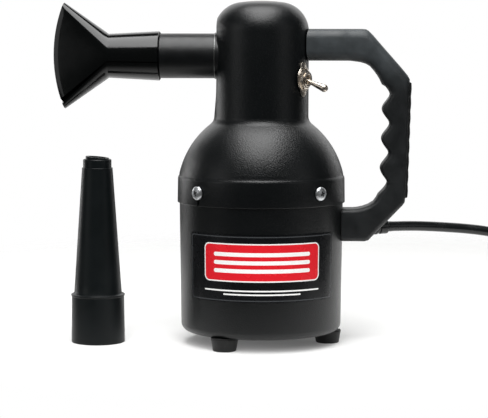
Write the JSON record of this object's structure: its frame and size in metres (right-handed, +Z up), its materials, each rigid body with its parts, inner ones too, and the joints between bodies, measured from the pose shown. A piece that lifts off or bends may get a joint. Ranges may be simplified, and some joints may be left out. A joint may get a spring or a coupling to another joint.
{
  "type": "car dryer blower",
  "caption": "Hand-held blower for drying cars: black metal canister with a frame handle, a toggle switch, a side outlet with a flared nozzle, and a loose tapered nozzle.",
  "frame": {"origin": "point on the floor under the canister's axis, between the three feet", "axes": "+Z up along the canister's axis; +X from the canister's axis to the grip, so the outlet points along -X; -Y towards the label's side"},
  "size_m": [0.5721, 0.1447, 0.2654],
  "materials": {
    "black_powder_coat": "satin, fine texture",
    "label_film": "satin, printed",
    "satin_black_metal": "satin, fine texture",
    "bright_ring": "satin",
    "handle_plastic": "satin",
    "pad_rubber": "matt",
    "zinc_screws": "zinc plated",
    "zinc_sheet": "zinc plated sheet",
    "bakelite": "moulded",
    "nickel": "nickel plated",
    "brass": "bright",
    "cord_jacket": "satin",
    "tie_strap": "woven",
    "wire_insulation": "satin",
    "filter_foam": "open-cell foam",
    "cast_alloy": "as cast",
    "laminations": "varnished laminations",
    "enamelled_copper": "enamelled winding wire",
    "commutator_copper": "turned copper",
    "carbon": "pressed carbon",
    "bearing_steel": "ground steel",
    "fan_alloy": "satin",
    "gloss_black_plastic": "gloss",
    "tip_plastic": "satin"
  },
  "bodies": {
    "blower": {"upper_housing": "black_powder_coat", "lower_can": "black_powder_coat", "front_label": "label_film", "outlet_tube": "satin_black_metal", "outlet_ring": "bright_ring", "handle": "handle_plastic", "handle_back_pad": "pad_rubber", "handle_screws": "zinc_screws", "handle_backing_plates": "zinc_sheet", "skirt_screws": "zinc_screws", "skirt_nuts": "zinc_screws", "foot_front": "pad_rubber", "foot_right": "pad_rubber", "foot_rear": "pad_rubber", "foot_screws": "zinc_screws", "foot_nuts": "zinc_screws", "switch_body": "bakelite", "switch_bushing": "nickel", "switch_plate": "nickel", "switch_washer": "nickel", "switch_nut": "nickel", "switch_terminals": "brass", "strain_relief": "cord_jacket", "strain_relief_nut": "zinc_screws", "intake_filter": "filter_foam", "motor_seat_ring": "zinc_sheet", "lower_gasket": "pad_rubber", "fan_shell": "zinc_sheet", "diffuser": "zinc_sheet", "lower_bracket": "cast_alloy", "stator_core": "laminations", "field_coil_left": "enamelled_copper", "field_coil_right": "enamelled_copper", "upper_bracket": "cast_alloy", "through_bolts": "zinc_screws", "brush_holders": "bakelite", "carbon_brushes": "carbon", "brush_springs": "zinc_sheet", "bearing_outer_races": "bearing_steel", "bearing_balls": "bearing_steel", "top_cushion": "pad_rubber", "motor_bridge": "zinc_sheet", "inner_wires": "wire_insulation", "cord_free": "cord_jacket", "cord_coil": "cord_jacket", "cord_tie": "tie_strap", "plug_body": "cord_jacket", "plug_blades": "brass"},
    "rotor": {"motor_shaft": "bearing_steel", "armature_core": "laminations", "armature_windings": "enamelled_copper", "commutator": "commutator_copper", "fan_wheel": "fan_alloy", "fan_nut": "zinc_screws", "bearing_inner_races": "bearing_steel"},
    "switch_lever": {"switch_lever": "nickel"},
    "flare_nozzle": {"flare_nozzle": "gloss_black_plastic"},
    "tapered_nozzle": {"tapered_nozzle": "handle_plastic", "nozzle_tip": "tip_plastic"}
  },
  "joints": [
    {"name": "rotor_spin", "type": "hinge", "parent": "blower", "child": "rotor", "pos_m": [0, 0, 0.09], "axis": [0, 0, 1], "continuous": true},
    {"name": "switch_throw", "type": "hinge", "parent": "blower", "child": "switch_lever", "pos_m": [0.03285, -0.01746, 0.2055], "axis": [-0.4695, -0.8829, 0], "range_deg": [0, 40]},
    {"name": "flare_turn", "type": "hinge", "parent": "blower", "child": "flare_nozzle", "pos_m": [-0.0786, 0, 0.223], "axis": [1, 0, 0], "continuous": true},
    {"name": "tapered_nozzle_slide", "type": "slide", "parent": "blower", "child": "tapered_nozzle", "axis": [-1, 0, 0], "range_m": [0, 0.15]}
  ]
}
